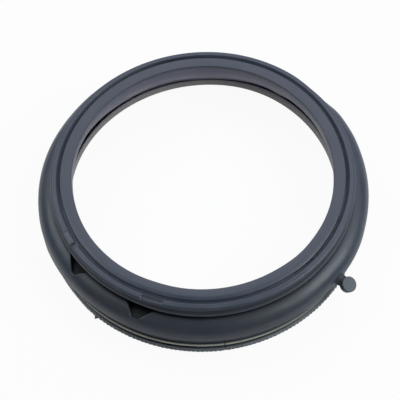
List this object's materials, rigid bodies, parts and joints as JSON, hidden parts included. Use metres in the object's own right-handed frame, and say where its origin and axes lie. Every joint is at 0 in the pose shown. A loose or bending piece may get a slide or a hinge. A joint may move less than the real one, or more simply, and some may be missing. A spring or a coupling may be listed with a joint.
{
  "type": "washing machine door seal",
  "caption": "Grey rubber door seal: a bellows ring with a flat front face, a wire groove, a panel channel, a toothed rear lip and a drain stub.",
  "frame": {"origin": "centre of the ring, on the plane that the rear lip lies on", "axes": "+Z along the ring's axis, from the rear lip to the front face; the stub is on the side of +X and -Y"},
  "size_m": [0.3884, 0.3884, 0.079],
  "materials": {
    "rubber": "satin"
  },
  "bodies": {
    "root": {"door_seal": "rubber"}
  },
  "joints": []
}
